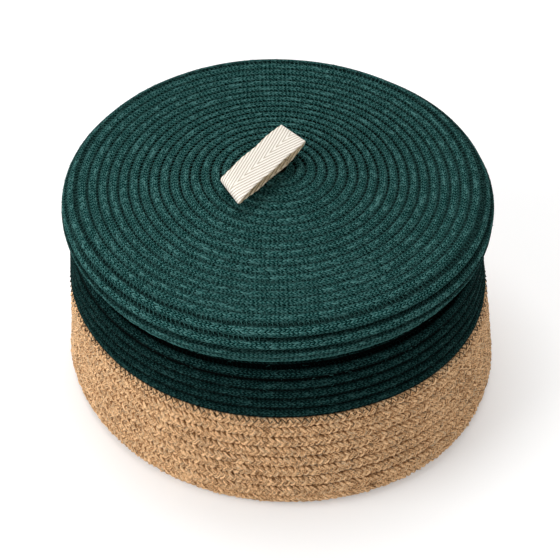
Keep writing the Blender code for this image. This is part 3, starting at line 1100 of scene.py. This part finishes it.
@dataclass
class SlantedStitches:
    """Thread that sews each turn of a coil to the next, in slanted stitches over the groove between them."""

    coil: Coil
    fullness: float = 0.95
    stitch: float = 0.0031
    reach: float = 0.0017
    radius: float = 0.00016
    samples: int = 5
    sides: int = 4
    reach_waves: Waves = ((0.25, 0.0, 2.31, 9),)
    drift_waves: Waves = ((2.0, 0.0, 0, 1 / 0.023), (1.0, 0.0, 1.7, 0))
    draw_period: float = 0.061
    draw_depth: float = 0.16
    sunk_depth: float = 0.5

    def path(self, first: float, last: float) -> tuple[np.ndarray, np.ndarray]:
        """The thread's path over the groove beside the turn that runs between two places.

        In the first two fifths of a stitch it lies across the groove, then it comes back inside the cords.
        Sines of the stitch's number and of the length make stitches longer, shorter and deeper.

        Args:
            first: Where it starts, in loops.
            last: Where it ends, in loops, at least one short of the coil's end.

        Returns:
            The path and vectors out of the object.
        """
        loops, length = self.coil.even_places(first, last, self.stitch / self.samples)
        near, _, out = self.coil.place(loops)
        far, _, far_out = self.coil.place(loops + 1)
        phase = np.arange(len(loops)) / self.samples
        swing = np.interp(phase % 1, (0, 0.4, 1), (-1, 1, -1))
        sunk = np.interp(phase % 1, (0, 0.4, 0.6, 0.8, 1), (0, 0, 1, 1, 0))
        number = np.floor(phase)
        uneven = 1 + waves(self.reach_waves, number, length)
        drift = waves(self.drift_waves, number, length)
        drawn_in = 0.5 + 0.5 * np.sin(length / self.draw_period + drift)
        way, up = unit(far - near), unit(out + far_out)
        rise = self.fullness * (0.97 - 0.04 * swing**2)
        rise = rise - self.sunk_depth * sunk - self.draw_depth * drawn_in
        lift = self.coil.half_pitch(loops) * rise
        return (near + far) / 2 + way * (self.reach * swing * uneven)[:, None] + up * lift[:, None], up

    def piece(self, name: str, first: float, last: float) -> bpy.types.Object:
        """The thread as a piece."""
        path, up = self.path(first, last)
        return tubes_piece(name, [round_tube(path, up, self.radius, self.sides)])


@dataclass
class JutePlait:
    """A three-strand plait of jute laid on a coil."""

    coil: Coil
    period: float = 0.0116
    strand_width: float = 0.0018
    strand_depth: float = 0.0021
    swing: float = 0.0026
    dive: float = 0.0014
    steps: int = 14
    sides: int = 10
    phase_waves: Waves = ((0.35, 0.0, 1 / 0.021, 0), (0.25, 0.0, 1 / 0.0083, 1))
    size_waves: Waves = ((0.10, 0.0, 1 / 0.0137, 2.1), (0.06, 0.0, 1 / 0.0051, 1))
    lump_size: float = 0.11
    lump_twist: float = 0.0016
    fibre_radius: float = 0.00018
    fibre_rings: int = 6
    floor_gap: float = 0.0003

    def strand(self, first: float, last: float, turn: int) -> Tube:
        """One strand's surface.

        The strand swings across the plait as a sine and dives under as a sine of twice the rate, a third of a
        period behind the strand before it. Its own ring is an ellipse with three lumps that twist along it,
        pressed flat where it meets the floor. Slow sines vary its phase and its size.

        Args:
            first: Where it starts, in loops.
            last: Where it ends, in loops.
            turn: Which of the three strands it is.

        Returns:
            The grid and the length at each ring.
        """
        loops, length = self.coil.even_places(first, last, self.period / self.steps)
        points, across, out = self.coil.place(loops)
        phase = 2 * math.pi * (length / self.period + turn / 3) + waves(self.phase_waves, length, turn)
        fullness = 1 + waves(self.size_waves, length, turn)[:, None]
        path = points + across * (self.swing * np.sin(phase))[:, None]
        path = path + out * (self.dive * np.sin(2 * phase))[:, None]
        side, up = path_frames(path, out)
        angle = np.linspace(0, 2 * math.pi, self.sides, endpoint=False)[None]
        lumps = 1 + self.lump_size * np.cos(3 * angle + length[:, None] / self.lump_twist + turn)
        width = self.strand_width * fullness * lumps * np.cos(angle)
        depth = self.strand_depth * fullness * lumps * np.sin(angle)
        grid = swept(path, side, up, width, depth)
        grid[..., 2] = np.maximum(grid[..., 2], 0)
        return grid, length + turn * 0.37

    def fibres(self, first: float, last: float, turn: int, count: int) -> Tube:
        """Single fibres that lie on a strand's outer side, a little askew, with their ends loose.

        A fibre follows the strand's surface from ring to ring while its place round the ring drifts.

        Args:
            first: Where the strand starts, in loops.
            last: Where it ends, in loops.
            turn: Which of the three strands it is.
            count: How many fibres are tried; those on the inner side are left out.

        Returns:
            The fibres' grids and the length at each ring.
        """
        rng = np.random.default_rng(11 + turn)
        grid, _ = self.strand(first, last, turn)
        loops, _ = self.coil.even_places(first, last, self.period / self.steps)
        out = self.coil.place(loops)[2]
        rings = np.arange(self.fibre_rings)
        start = rng.integers(0, len(grid) - len(rings), count)
        rows = start[:, None] + rings
        place = rng.uniform(0, self.sides, count)[:, None]
        place = place + rng.normal(0, 0.16, count)[:, None] * (rings - rings.mean())
        low = np.floor(place).astype(int)
        share = (place - low)[..., None]
        surface = grid[rows, low % self.sides] * (1 - share) + grid[rows, (low + 1) % self.sides] * share
        centre = grid.mean(axis=1)[rows]
        outward = surface - centre
        loose = rng.uniform(0, 0.30, count)[:, None] ** 2 * (rings / rings[-1]) ** 3
        paths = centre + outward * (1.04 + loose)[..., None]
        paths[..., 2] = np.maximum(paths[..., 2], self.floor_gap)
        faces_out = np.einsum("hi,hi->h", outward[:, 2], out[rows[:, 2]]) > 0.2 * self.strand_depth
        return hair_tubes(paths[faces_out], self.fibre_radius)

    def core(self, first: float, last: float) -> Tube:
        """The plait's filled middle, a flat oval tube inside the strands.

        Args:
            first: Where it starts, in loops.
            last: Where it ends, in loops.

        Returns:
            The grid and the length at each ring.
        """
        loops, length = self.coil.even_places(first, last, self.period / 3)
        points, across, out = self.coil.place(loops)
        angle = np.linspace(0, 2 * math.pi, 6, endpoint=False)[None] + 0 * length[:, None]
        width = self.coil.half_pitch(loops)[:, None] * np.cos(angle)
        return swept(points, across, out, width, 0.55 * self.strand_depth * np.sin(angle)), length

    def piece(self, name: str, first: float, last: float) -> bpy.types.Object:
        """The plait between two places as a piece."""
        strands = [self.strand(first, last, turn) for turn in range(3)]
        return tubes_piece(name, [*strands, self.core(first, last)])


@dataclass
class Body:
    """The basket's body: the jute base and wall, the cotton wall, and the thread that joins them."""

    sizes: Sizes
    row_pieces: int = 4
    fibre_tries: int = 5200
    fuzz_count: int = 1500
    seam_stitch: float = 0.0049
    seam_samples: int = 6
    seam_radius: float = 0.00026
    seam_lift: float = 0.0002
    seam_angles: tuple[float, float] = (12.0, 62.0)
    coil: Coil = field(init=False)
    join: float = field(init=False)
    foot_loop: int = field(init=False)

    def __post_init__(self) -> None:
        """Winds the wall's coil, which starts with the base, and finds where the cotton takes over."""
        sizes = self.sizes
        jute, cotton = sizes.jute_rope / 2, sizes.cotton_rope / 2
        corners = [
            (0, jute),
            (sizes.base_radius - jute, jute),
            (sizes.waist_radius - cotton, sizes.collar_start - sizes.ledge_height),
            (sizes.collar_radius - cotton, sizes.collar_start),
            (sizes.collar_radius - cotton, sizes.wall_height - cotton),
        ]
        line = bent_line(corners, [sizes.foot_bend, sizes.waist_bend, sizes.waist_bend])
        pitches = (sizes.jute_rope + sizes.sewn_gap, sizes.cotton_rope + sizes.sewn_gap)
        foot = sizes.base_radius - jute - sizes.foot_bend
        self.foot_loop = math.floor((foot - jute) / pitches[0])
        start = foot - self.foot_loop * pitches[0]
        change = sizes.seam_height - jute
        self.coil = Coil(line, start, pitches, change, 0.0, Sense.CLOCKWISE, Side.BODY, sizes, leans=True)
        heights = self.coil.read(self.coil.stations)[:, 1]
        self.join = float(np.argmax(heights > change)) / SAMPLES_PER_LOOP
        self.coil.first_angle = 2 * math.pi * (sizes.join_turn_share + self.join)

    def build(self, finishes: Finishes) -> None:
        """Makes and dresses the body's pieces.

        Args:
            finishes: The materials.
        """
        plait = JutePlait(self.coil)
        coarse = JutePlait(self.coil, steps=7, sides=6)
        base = coarse.piece("jute_base_plait", 0, self.foot_loop)
        dress(base, finishes.jute, BASKET, ("jute_base",))
        bounds = np.linspace(self.foot_loop, self.join, self.row_pieces + 1)
        for number, (first, last) in enumerate(zip(bounds, bounds[1:]), 1):
            rows = plait.piece(f"jute_rows_{number}", first, last)
            dress(rows, finishes.jute, BASKET, ("jute_wall",) if number == 1 else ())
        for turn in range(3):
            hairs = plait.fibres(self.foot_loop, self.join, turn, self.fibre_tries)
            dress(tubes_piece(f"jute_fibres_{turn + 1}", [hairs]), finishes.jute_fibre, BASKET)
        cord = CottonRope(self.coil)
        middle = (self.join + self.coil.loops) / 2
        wall = cord.piece("green_wall_cord", self.join, middle)
        dress(wall, finishes.wall_cotton, BASKET, ("cotton_wall",))
        collar = cord.piece("green_collar_cord", middle, self.coil.loops)
        dress(collar, finishes.wall_cotton, BASKET)
        stitches = SlantedStitches(self.coil)
        thread = stitches.piece("wall_stitches", self.join, self.coil.loops - 1)
        dress(thread, finishes.dark_thread, BASKET)
        fuzz = tubes_piece("wall_fuzz", [cord.fuzz(self.join, self.coil.loops, self.fuzz_count, 5)])
        dress(fuzz, finishes.pale_thread, BASKET)
        dress(self.seam_thread(), finishes.dark_thread, BASKET, ("seam_thread",))

    def seam_thread(self) -> bpy.types.Object:
        """The dark zigzag over the edge of the jute: its low points reach down over the last jute row.

        Its angle round the last jute row swings evenly between two values, measured from the way out.

        Returns:
            The piece.
        """
        step = self.seam_stitch / 2 / self.seam_samples
        loops, _ = self.coil.even_places(self.join - 1, self.join, step)
        points, across, out = self.coil.place(loops)
        swing = np.abs((np.arange(len(loops)) / self.seam_samples) % 2 - 1)
        low, high = np.radians(self.seam_angles)
        angle = high - swing * (high - low)
        reach = self.sizes.jute_rope / 2 + self.seam_lift
        path = points + across * (reach * np.sin(angle))[:, None] + out * (reach * np.cos(angle))[:, None]
        return tubes_piece("seam_zigzag", [round_tube(path, out, self.seam_radius, 5)])


@dataclass
class Lid:
    """The lid: a cotton cord coiled flat and then turned down."""

    sizes: Sizes
    middle_share: float = 0.58
    shoulder_share: float = 0.82
    fuzz_count: int = 3400
    coil: Coil = field(init=False)

    def __post_init__(self) -> None:
        """Winds the lid's coil."""
        sizes = self.sizes
        rope = sizes.lid_rope / 2
        flat = sizes.lid_top - rope
        radii = np.linspace(sizes.eye_radius + rope, sizes.collar_radius, 64)
        dome = np.stack([radii, flat + sizes.dome_height(radii)], axis=-1)
        corners = [
            (sizes.collar_radius, flat),
            (sizes.lid_radius - rope, flat),
            (
                (sizes.lid_radius + sizes.lid_edge_radius) / 2 + sizes.lid_swell - rope,
                (sizes.lid_top + sizes.lid_edge) / 2,
            ),
            (sizes.lid_edge_radius - sizes.lid_side_rope / 2, sizes.lid_edge + sizes.lid_side_rope / 2),
        ]
        line = np.concatenate([dome, bent_line(corners, [sizes.lid_bend, sizes.lid_swell_bend])[1:]])
        pitches = (sizes.lid_side_rope + sizes.lid_sewn_gap, sizes.lid_rope + sizes.lid_sewn_gap)
        change = sizes.lid_top - sizes.lid_rope
        sense = Sense.COUNTER_CLOCKWISE
        self.coil = Coil(line, 0.0, pitches, change, 0.0, sense, Side.LID, sizes, leans=False)
        self.coil.first_angle = 2 * math.pi * (sizes.join_turn_share - self.coil.loops)

    def build(self, finishes: Finishes) -> None:
        """Makes and dresses the lid's pieces.

        Args:
            finishes: The materials.
        """
        cord = CottonRope(self.coil)
        loops = self.coil.loops
        middle, shoulder = loops * self.middle_share, loops * self.shoulder_share
        stretches = (
            ("lid_inner_cord", 0.06, middle, ("lid_coil",)),
            ("lid_outer_cord", middle, shoulder, ()),
            ("lid_side_cord", shoulder, loops, ()),
        )
        for name, first, last, nodes in stretches:
            dress(cord.piece(name, first, last), finishes.lid_cotton, LID, nodes)
        stitches = SlantedStitches(self.coil)
        dress(stitches.piece("lid_stitches", 0.5, shoulder + 0.6), finishes.pale_thread, LID)
        edge = tubes_piece("lid_edge_thread", [cord.edge_thread(loops - 1, loops - 0.02, 1.0)])
        dress(edge, finishes.pale_thread, LID)
        fuzz = tubes_piece("lid_fuzz", [cord.fuzz(0.3, loops, self.fuzz_count, 3)])
        dress(fuzz, finishes.pale_thread, LID)


# The loop's line past its flat foot, as shares of its reach to either side and of its height.
LOOP_LINE_SHARES = (
    (0.80, 0.10),
    (0.97, 0.36),
    (1.00, 0.66),
    (0.97, 0.93),
    (0.80, 0.97),
    (0.30, 0.97),
    (-0.30, 0.93),
    (-0.78, 0.84),
    (-1.00, 0.72),
    (-1.00, 0.38),
    (-0.94, 0.20),
)

# A frayed hair's place across the tape, place in its thickness, length, drift and rise, at least and at most.
FRAY_LEAST = (-0.49, -0.4, 0.0007, -0.0009, -0.0003)
FRAY_MOST = (0.49, 0.4, 0.0026, 0.0009, 0.0010)


@dataclass
class TapeLoop:
    """The loop of herringbone tape, its cut ends, and the tack that holds it."""

    sizes: Sizes
    step: float = 0.00080
    half_count: int = 20
    fan: float = 4.5
    edge_waves: Waves = ((0.00034, 0.0, 1 / 0.0047, 2), (0.00014, 0.0, 1 / 0.0009, 1))
    hairs: int = 44
    hair_radius: float = 0.00014
    hair_points: int = 5
    tack_half_width: float = 0.0093
    tack_swing: float = 0.0012
    tack_thread: float = 0.00033
    tack_shank: float = 0.0010
    tack_points: int = 240
    tack_half_turns: int = 34

    @property
    def layers(self) -> tuple[float, float]:
        """Heights over the lid of the middles of the tape's lower and upper layers."""
        lower = self.sizes.face_gap + self.sizes.tape_thickness / 2
        return lower, lower + self.sizes.tape_thickness + self.sizes.face_gap

    def line(self) -> np.ndarray:
        """The tape's centre line in the plane of x and z: corners cut again and again to a smooth curve.

        Returns:
            (x, z) points at even steps.
        """
        sizes = self.sizes
        lower, upper = self.layers
        line = [(-sizes.tape_overlap, lower), (sizes.tape_overlap, lower)]
        line.append((sizes.tape_overlap + sizes.tape_flat_run, lower))
        for along, up in LOOP_LINE_SHARES:
            reach = sizes.loop_right if along > 0 else sizes.loop_left
            line.append((along * reach, upper + up * (sizes.loop_height - upper)))
        line += [(-sizes.loop_left / 2, upper), (-sizes.tape_overlap, upper), (sizes.tape_overlap, upper)]
        points = np.array(line)
        for _ in range(4):
            before, after = points[:-1], points[1:]
            cut = np.stack([0.75 * before + 0.25 * after, 0.25 * before + 0.75 * after], axis=1)
            points = np.concatenate([points[:1], cut.reshape(-1, 2), points[-1:]])
        length = run_lengths(points)
        along = np.linspace(0, length[-1], round(length[-1] / self.step))
        return np.stack([np.interp(along, length, points[:, axis]) for axis in (0, 1)], axis=-1)

    def set_on_lid(self, points: np.ndarray) -> np.ndarray:
        """Points of the loop moved to its place on the lid: its folds slant, and it leans to -Y as it rises.

        Args:
            points: Points with a last axis of along the tape, across it, and up from the lid.

        Returns:
            The points in the object's frame.
        """
        sizes = self.sizes
        along, across, up = np.moveaxis(points, -1, 0)
        skew = sizes.loop_skew - self.fan * (along - (sizes.loop_right - sizes.loop_left) / 2)
        sideways = across + sizes.loop_aside - sizes.loop_tilt * up
        return np.stack([along + skew * across, sideways, up + sizes.loop_foot], axis=-1) + sizes.lid_place

    def band(self) -> bpy.types.Object:
        """The tape: a flat ring of points with rounded, slightly wavy edges, carried along the line.

        The mesh keeps at each point the way along the tape, the way across it and which face it is on.

        Returns:
            The piece.
        """
        line = self.line()
        rows = len(line)
        points = np.stack([line[:, 0], np.zeros(rows), line[:, 1]], axis=-1)
        across = np.tile((0.0, 1.0, 0.0), (rows, 1))
        up = np.cross(unit(np.gradient(points, axis=0)), across)
        share = np.linspace(-1, 1, 2 * self.half_count + 1)
        ring_share = np.concatenate([share, share[-2:0:-1]])
        face = np.concatenate([np.ones(len(share)), -np.ones(len(share) - 2)])
        edge = np.sqrt(np.clip(1 - np.abs(ring_share) ** 24, 0.02, 1))
        along = np.arange(rows)[:, None] * self.step
        wave = waves(self.edge_waves, along, ring_share)
        width = self.sizes.tape_width / 2 + wave * np.abs(ring_share) ** 6
        depth = face * edge * self.sizes.tape_thickness / 2 + 0 * along
        grid = swept(points, across, up, ring_share * width, depth)
        piece = tubes_piece("herringbone_tape", [(self.set_on_lid(grid), along[:, 0])])
        inside = np.einsum("rsi,ri->rs", grid - points[:, None], up) > 0
        for name, values in (("along", along + 0 * depth), ("across", grid[..., 1]), ("inside", inside)):
            attribute = piece.data.attributes.new(name, "FLOAT", "POINT")
            attribute.data.foreach_set("value", values.astype(np.float32).ravel())
        return piece

    def fray(self) -> bpy.types.Object:
        """The loose fibres at the tape's two cut ends: hairs that bend as the square of the way along them.

        Returns:
            The piece.
        """
        sizes = self.sizes
        rng = np.random.default_rng(7)
        share = np.linspace(0, 1, self.hair_points)
        grids = []
        for end, height in zip((-1, 1), self.layers):
            draws = rng.uniform(FRAY_LEAST, FRAY_MOST, (self.hairs, 5))
            across, start, reach, drift, rise = draws.T[..., None]
            along = end * (sizes.tape_overlap - 0.0004 + reach * share)
            sideways = across * sizes.tape_width + drift * share**2
            up = height + start * sizes.tape_thickness + rise * share**2
            paths = np.stack([along, sideways, up], axis=-1)
            grids.append(hair_tubes(self.set_on_lid(paths), self.hair_radius))
        return tubes_piece("tape_frayed_ends", grids)

    def tack(self) -> bpy.types.Object:
        """The tack: a close zigzag across the tape, another under the lid, and the shank between them.

        Returns:
            The piece.
        """
        sizes = self.sizes
        count = self.tack_points
        swing = self.tack_swing * np.sin(np.linspace(0, self.tack_half_turns * math.pi, count))
        run = self.tack_half_width * np.linspace(-1, 1, count)
        place = sizes.lid_place + np.array([0, sizes.loop_aside, 0])
        top = sizes.loop_foot + 2 * (sizes.face_gap + sizes.tape_thickness) + 0.0004
        under = sizes.lid_top + sizes.dome_height(sizes.loop_aside + self.tack_half_width)
        under = under - sizes.lid_rope - 0.0009
        grids = []
        for height in (top, under):
            path = place + np.stack([swing, run, np.full(count, height)], axis=-1)
            grids.append(round_tube(path, np.tile((0.0, 0.0, 1.0), (count, 1)), self.tack_thread, 5))
        shank = sizes.lid_place + np.stack([np.zeros(6), np.zeros(6), np.linspace(under, top, 6)], axis=-1)
        grids.append(round_tube(shank, np.tile((1.0, 0.0, 0.0), (6, 1)), self.tack_shank, 8))
        return tubes_piece("tack_stitches", grids)

    def build(self, finishes: Finishes) -> None:
        """Makes and dresses the loop's pieces.

        Args:
            finishes: The materials.
        """
        band, fray, tack = self.band(), self.fray(), self.tack()
        dress(band, finishes.tape, LID, ("tape_loop",))
        dress(fray, finishes.cream_thread, LID)
        dress(tack, finishes.cream_thread, LID, ("tack_thread",))
        length = float(np.linalg.norm(np.diff(self.line(), axis=0), axis=1).sum())


@dataclass
class Studio:
    """The pale floor, the soft lights and the camera."""

    sizes: Sizes
    tilt: float = 42.5
    roll: float = 0.35
    tape_angle: float = 54.4
    distance_share: float = 10.0
    scale_px: float = 210.4
    centre_px: tuple[float, float] = (275.8, 189.0)
    image_px: float = 560.0
    lid_radius: float = 0.140
    plane_height: float = 0.1482
    sensor: float = 36.0
    floor_reach: float = 3.0
    floor_tone: float = 0.86
    floor_glow: float = 0.24
    room_light: float = 0.39
    lamp_size: float = 1.2

    def axes(self) -> tuple[Vector, Vector]:
        """The photograph's right and its away direction, level, in the object's own frame."""
        angle = math.radians(-self.tape_angle)
        return Vector((math.cos(angle), math.sin(angle), 0)), Vector((-math.sin(angle), math.cos(angle), 0))

    def camera(self) -> None:
        """Sets the camera: its turn, scale and centre are a fit to the outlines, its distance a choice."""
        right, away = self.axes()
        up = Vector((0, 0, 1))
        tilt, roll = math.radians(self.tilt), math.radians(self.roll)
        distance = self.distance_share * self.lid_radius
        focal_px = self.scale_px * self.distance_share
        offset_x = (self.centre_px[0] - self.image_px / 2) / focal_px * distance
        offset_y = (self.centre_px[1] - self.image_px / 2) / focal_px * distance
        forward = away * math.cos(tilt) - up * math.sin(tilt)
        down = -up * math.cos(tilt) - away * math.sin(tilt)
        centre = Vector(self.sizes.lid_place) + up * self.plane_height
        place = centre - forward * distance - right * offset_x - down * offset_y
        camera_right = right * math.cos(roll) - down * math.sin(roll)
        camera_down = right * math.sin(roll) + down * math.cos(roll)
        data = bpy.data.cameras.new("camera")
        data.sensor_width = self.sensor
        data.lens = focal_px / self.image_px * self.sensor
        data.clip_start = 0.05
        data.clip_end = 50
        camera = bpy.data.objects.new("camera", data)
        turn = Matrix((camera_right, -camera_down, -forward)).transposed().to_4x4()
        camera.matrix_world = Matrix.Translation(place) @ turn
        bpy.context.scene.collection.objects.link(camera)
        bpy.context.scene.camera = camera

    @staticmethod
    def seen_rays(tree: bpy.types.NodeTree) -> Socket:
        """Adds nodes that give 1 for camera, glossy and transmission rays, and 0 for the others.

        Args:
            tree: The node tree that they go into.

        Returns:
            The value's socket.
        """
        rays = tree.nodes.new("ShaderNodeLightPath").outputs
        seen = rays["Is Camera Ray"]
        for kind in ("Is Glossy Ray", "Is Transmission Ray"):
            either = tree.nodes.new("ShaderNodeMath")
            either.operation = "MAXIMUM"
            tree.links.new(seen, either.inputs[0])
            tree.links.new(rays[kind], either.inputs[1])
            seen = either.outputs[0]
        return seen

    def floor(self) -> None:
        """A level pale floor that takes the shadow.

        It glows a little for the camera, and in glossy and transmission rays, so that it ends white.
        """
        edges = np.array([-self.floor_reach, self.floor_reach])
        grid = np.stack(np.meshgrid(edges, edges, [0.0]), axis=-1).reshape(-1, 3)
        piece = new_piece("floor", grid, [np.array([[0, 1, 3, 2]])], None)
        if piece.data.polygons[0].normal.z < 0:
            piece.data.flip_normals()
        graph = Graph("white_floor")
        tone = self.floor_tone
        graph.shader.inputs["Base Color"].default_value = (tone, tone, tone, 1)
        graph.surface(0.9, 0.0)
        graph.shader.inputs["Emission Color"].default_value = (1, 1, 1, 1)
        strength = graph.math("MULTIPLY", self.seen_rays(graph.tree), self.floor_glow)
        graph.tree.links.new(strength, graph.shader.inputs["Emission Strength"])
        piece.data.materials.append(graph.material)

    def world(self) -> None:
        """A white room: full white to camera, glossy and transmission rays, and softer as light."""
        world = bpy.data.worlds.new("white_room")
        world.use_nodes = True
        bpy.context.scene.world = world
        tree = world.node_tree
        background = tree.nodes["Background"]
        background.inputs["Color"].default_value = (1, 1, 1, 1)
        strength = tree.nodes.new("ShaderNodeMapRange")
        strength.inputs["To Min"].default_value = self.room_light
        strength.inputs["To Max"].default_value = 1.0
        tree.links.new(self.seen_rays(tree), strength.inputs["Value"])
        tree.links.new(strength.outputs[0], background.inputs["Strength"])

    def lamp(self, name: str, side: float, depth: float, height: float, power: float) -> None:
        """A square soft lamp that points at the basket.

        Args:
            name: The lamp's name.
            side: How far it stands to the photograph's right.
            depth: How far it stands away from the camera's side.
            height: Its height.
            power: Its power in watts.
        """
        right, away = self.axes()
        data = bpy.data.lights.new(name, "AREA")
        data.size = self.lamp_size
        data.energy = power
        lamp = bpy.data.objects.new(name, data)
        place = right * side + away * depth + Vector((0, 0, height))
        aim = (-place).to_track_quat("-Z", "Y").to_matrix().to_4x4()
        lamp.matrix_world = Matrix.Translation(place) @ aim
        bpy.context.scene.collection.objects.link(lamp)

    def build(self) -> None:
        """Makes the whole studio."""
        self.camera()
        self.floor()
        self.world()
        self.lamp("key_lamp", -0.15, 0.50, 1.9, 20.3)
        self.lamp("left_fill_lamp", -1.45, -0.65, 0.8, 19.5)
        self.lamp("right_fill_lamp", 1.1, -1.2, 0.7, 5.2)
        bpy.context.scene.view_settings.view_transform = "Standard"


def main() -> None:
    """Loads the frame, dresses the basket and sets the studio."""
    logging.basicConfig(level=logging.INFO, format="%(name)s: %(message)s")
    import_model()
    sizes = Sizes()
    Studio(sizes).build()
    finishes = Finishes.make()
    Body(sizes).build(finishes)
    Lid(sizes).build(finishes)
    TapeLoop(sizes).build(finishes)


if __name__ == "__main__":
    main()
